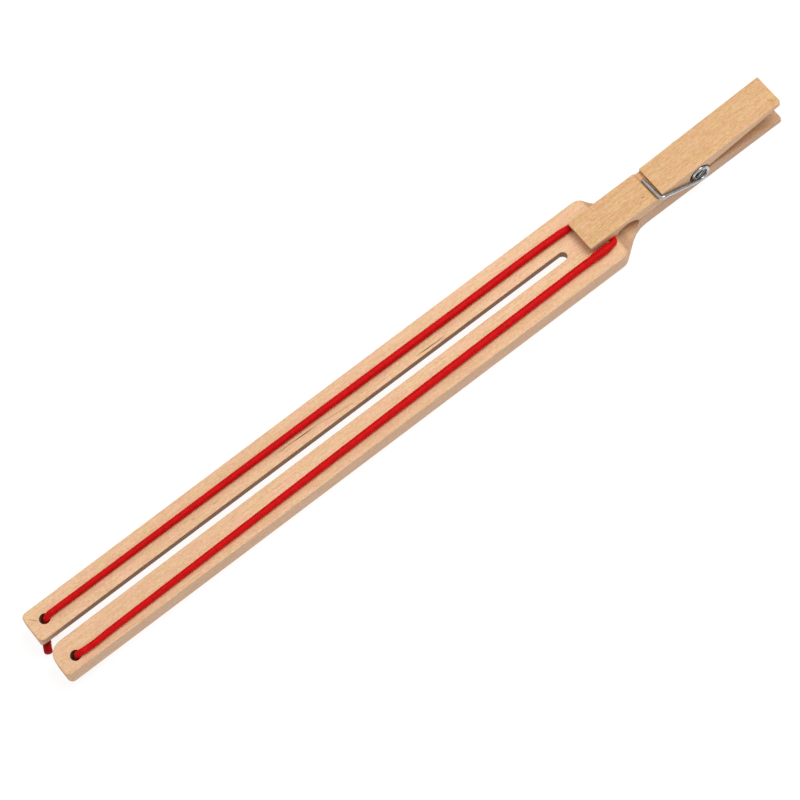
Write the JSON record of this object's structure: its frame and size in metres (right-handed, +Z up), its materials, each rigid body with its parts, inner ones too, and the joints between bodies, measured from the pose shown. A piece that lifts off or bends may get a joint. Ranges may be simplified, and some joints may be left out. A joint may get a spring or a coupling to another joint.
{
  "type": "loom",
  "caption": "Flat two-tined wooden loom with a slot between the tines, a sprung clip at the handle end and an elastic cord held in the clip's jaw.",
  "frame": {"origin": "bottom centre of the bounding box, on the surface that the loom lies on", "axes": "+X along the loom from the tine tips to the handle, +Y across it, +Z up. The plank slopes down by 0.93 degrees towards +X, because the loom lies on its two knots and on the end of its lower handle"},
  "size_m": [0.2902, 0.0262, 0.0136],
  "materials": {
    "beech": "sanded, unvarnished",
    "beech_lever": "sanded, unvarnished",
    "spring_steel": "bright drawn wire",
    "cord_red": "braided elastic"
  },
  "bodies": {
    "frame": {"loom_body": "beech", "clip_spring": "spring_steel", "cord": "cord_red", "knot_left": "cord_red", "knot_right": "cord_red"},
    "lever": {"clip_lever": "beech_lever"}
  },
  "joints": [
    {"name": "clip_hinge", "type": "hinge", "parent": "frame", "child": "lever", "pos_m": [0.11167, 0.0004, 0.00683], "axis": [0, 1, 0], "range_deg": [0, 13], "stiffness_Nm_per_rad": 0.25, "springref_deg": -28.65, "deforming": ["clip_spring"]}
  ]
}
